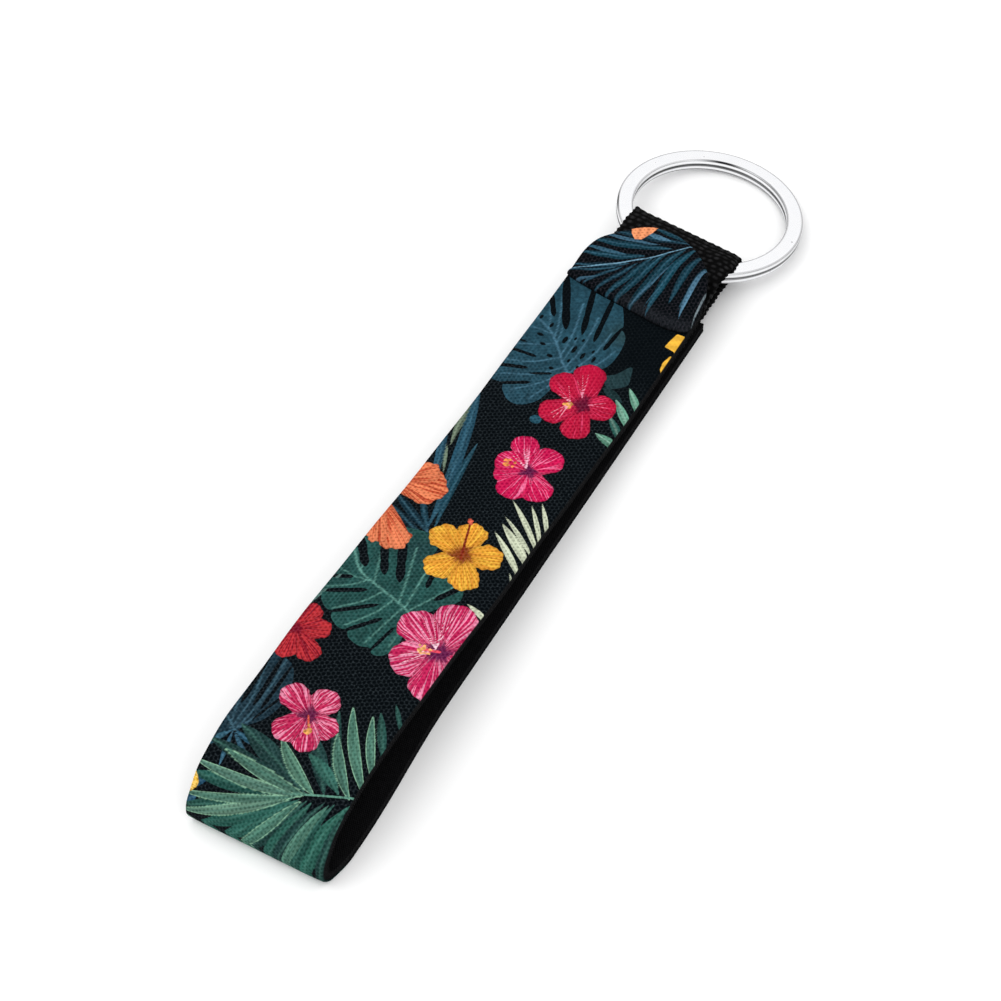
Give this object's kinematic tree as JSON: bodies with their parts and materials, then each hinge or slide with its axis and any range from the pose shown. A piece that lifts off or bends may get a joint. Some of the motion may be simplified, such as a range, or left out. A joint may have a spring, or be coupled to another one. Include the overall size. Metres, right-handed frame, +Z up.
{
  "type": "wristlet keychain",
  "caption": "Short padded cloth wrist loop with a floral print, a black webbing eye and a flat split ring for keys.",
  "frame": {"origin": "middle of the strap loop's underside: centre of its width, halfway along its length, on the surface it lies on", "axes": "+X across the strap's width, +Y along the strap towards the ring, +Z up, away from the surface it lies on"},
  "size_m": [0.035, 0.1748, 0.0128],
  "materials": {
    "printed_cloth": "dark ground, tropical leaf and flower print, fine diagonal weave",
    "foam": "matt black closed-cell foam",
    "lining_cloth": "matt black knit",
    "webbing": "ribbed black polyester webbing",
    "plated_steel": "bright nickel plate, lightly polished",
    "thread": "black polyester thread"
  },
  "bodies": {
    "strap": {"strap_printed_face": "printed_cloth", "strap_foam_core": "foam", "strap_lining": "lining_cloth", "end_cover_face": "printed_cloth", "end_cover_pad": "foam", "webbing_tail": "webbing", "webbing_box_stitches": "thread", "cover_hem_stitches": "thread"},
    "webbing_loop": {"webbing_eye": "webbing"},
    "ring": {"split_ring": "plated_steel"}
  },
  "joints": [
    {"name": "webbing_flex", "type": "hinge", "parent": "strap", "child": "webbing_loop", "pos_m": [0, 0.0686, 0.0035], "axis": [1, 0, 0], "range_deg": [-90, 2]},
    {"name": "ring_turn", "type": "hinge", "parent": "webbing_loop", "child": "ring", "pos_m": [0.0019, 0.0905, 0.00341], "axis": [0.0418, 0.12, 0.9919], "continuous": true}
  ]
}
